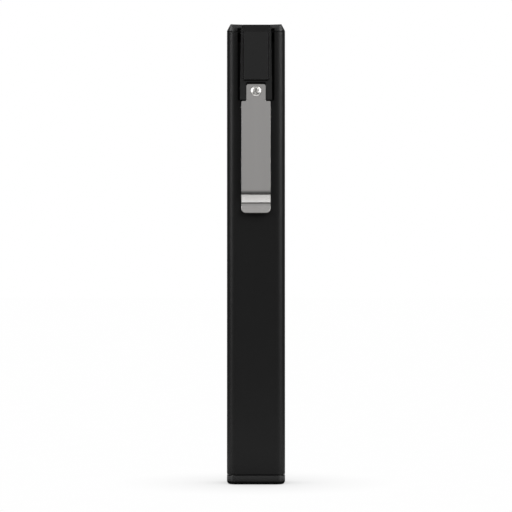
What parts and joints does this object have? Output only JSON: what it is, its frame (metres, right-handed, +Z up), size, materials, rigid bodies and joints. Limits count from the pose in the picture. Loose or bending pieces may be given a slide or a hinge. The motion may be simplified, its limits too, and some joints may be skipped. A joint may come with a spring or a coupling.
{
  "type": "penlight",
  "caption": "Slim rectangular rechargeable penlight with a strip lamp, an end lamp, a push button, a covered charging port and a springy steel pocket clip.",
  "frame": {"origin": "middle of the flat face under the bottom cap, on which the penlight stands", "axes": "+Z up along the case, -Y out of the back with the clip, +Y out of the lamp window, +X to the charging port"},
  "size_m": [0.0206, 0.0212, 0.1619],
  "materials": {
    "anodised_black": "black anodised, satin",
    "black_plastic": "fine moulded texture",
    "chassis_plastic": "moulded",
    "seal_rubber": "matte rubber",
    "clip_steel": "fine brushed along the clip",
    "screw_steel": "bright zinc plate",
    "insert_brass": "knurled brass",
    "magnet_nickel": "nickel plate",
    "clear_plastic": "clear polycarbonate",
    "board_white": "white solder mask",
    "board_green": "green solder mask",
    "chip_black": "moulded chip packages",
    "led_phosphor": "yellow phosphor",
    "plain_aluminium": "mill finish",
    "socket_steel": "tin plate",
    "cell_foil": "foil pouch",
    "pad_foam": "soft foam",
    "plunger_plastic": "moulded",
    "lead_red": "insulated wire",
    "lead_ivory": "insulated wire"
  },
  "bodies": {
    "case": {"body_tube": "anodised_black", "top_cap": "black_plastic", "bottom_cap": "black_plastic", "clip_holder": "black_plastic", "chassis": "chassis_plastic", "switch_body": "chassis_plastic", "usb_socket_tongue": "chassis_plastic", "top_cap_seal": "seal_rubber", "bottom_cap_seal": "seal_rubber", "window_gasket": "seal_rubber", "spot_lens_seal": "seal_rubber", "port_cover_anchor": "seal_rubber", "clip_tab": "clip_steel", "clip_screw": "screw_steel", "bottom_cap_screws": "screw_steel", "board_screws": "screw_steel", "clip_insert": "insert_brass", "holder_magnet": "magnet_nickel", "light_window": "clear_plastic", "spot_lens": "clear_plastic", "charge_light_pipe": "clear_plastic", "strip_board": "board_white", "spot_board": "board_white", "main_board": "board_green", "battery_board": "board_green", "board_components": "chip_black", "strip_leds": "led_phosphor", "spot_led": "led_phosphor", "charge_led": "led_phosphor", "heat_spreader": "plain_aluminium", "usb_socket": "socket_steel", "battery_cell": "cell_foil", "battery_pad": "pad_foam", "battery_leads": "lead_red", "strip_leads": "lead_ivory", "spot_leads": "lead_ivory"},
    "clip": {"clip_leaf": "clip_steel"},
    "button": {"button": "black_plastic", "button_seal": "seal_rubber", "switch_plunger": "plunger_plastic"},
    "cover": {"port_cover": "seal_rubber"}
  },
  "joints": [
    {"name": "clip_flex", "type": "hinge", "parent": "case", "child": "clip", "pos_m": [0, -0.0107, 0.1352], "axis": [-1, 0, 0], "range_deg": [0, 6], "stiffness_Nm_per_rad": 5},
    {"name": "button_press", "type": "slide", "parent": "case", "child": "button", "axis": [0, -1, 0], "range_m": [0, 0.0005], "stiffness_N_per_m": 3000},
    {"name": "cover_swing", "type": "hinge", "parent": "case", "child": "cover", "pos_m": [0.01025, 0, 0.032], "axis": [0, -1, 0], "range_deg": [0, 120], "stiffness_Nm_per_rad": 0.003}
  ]
}
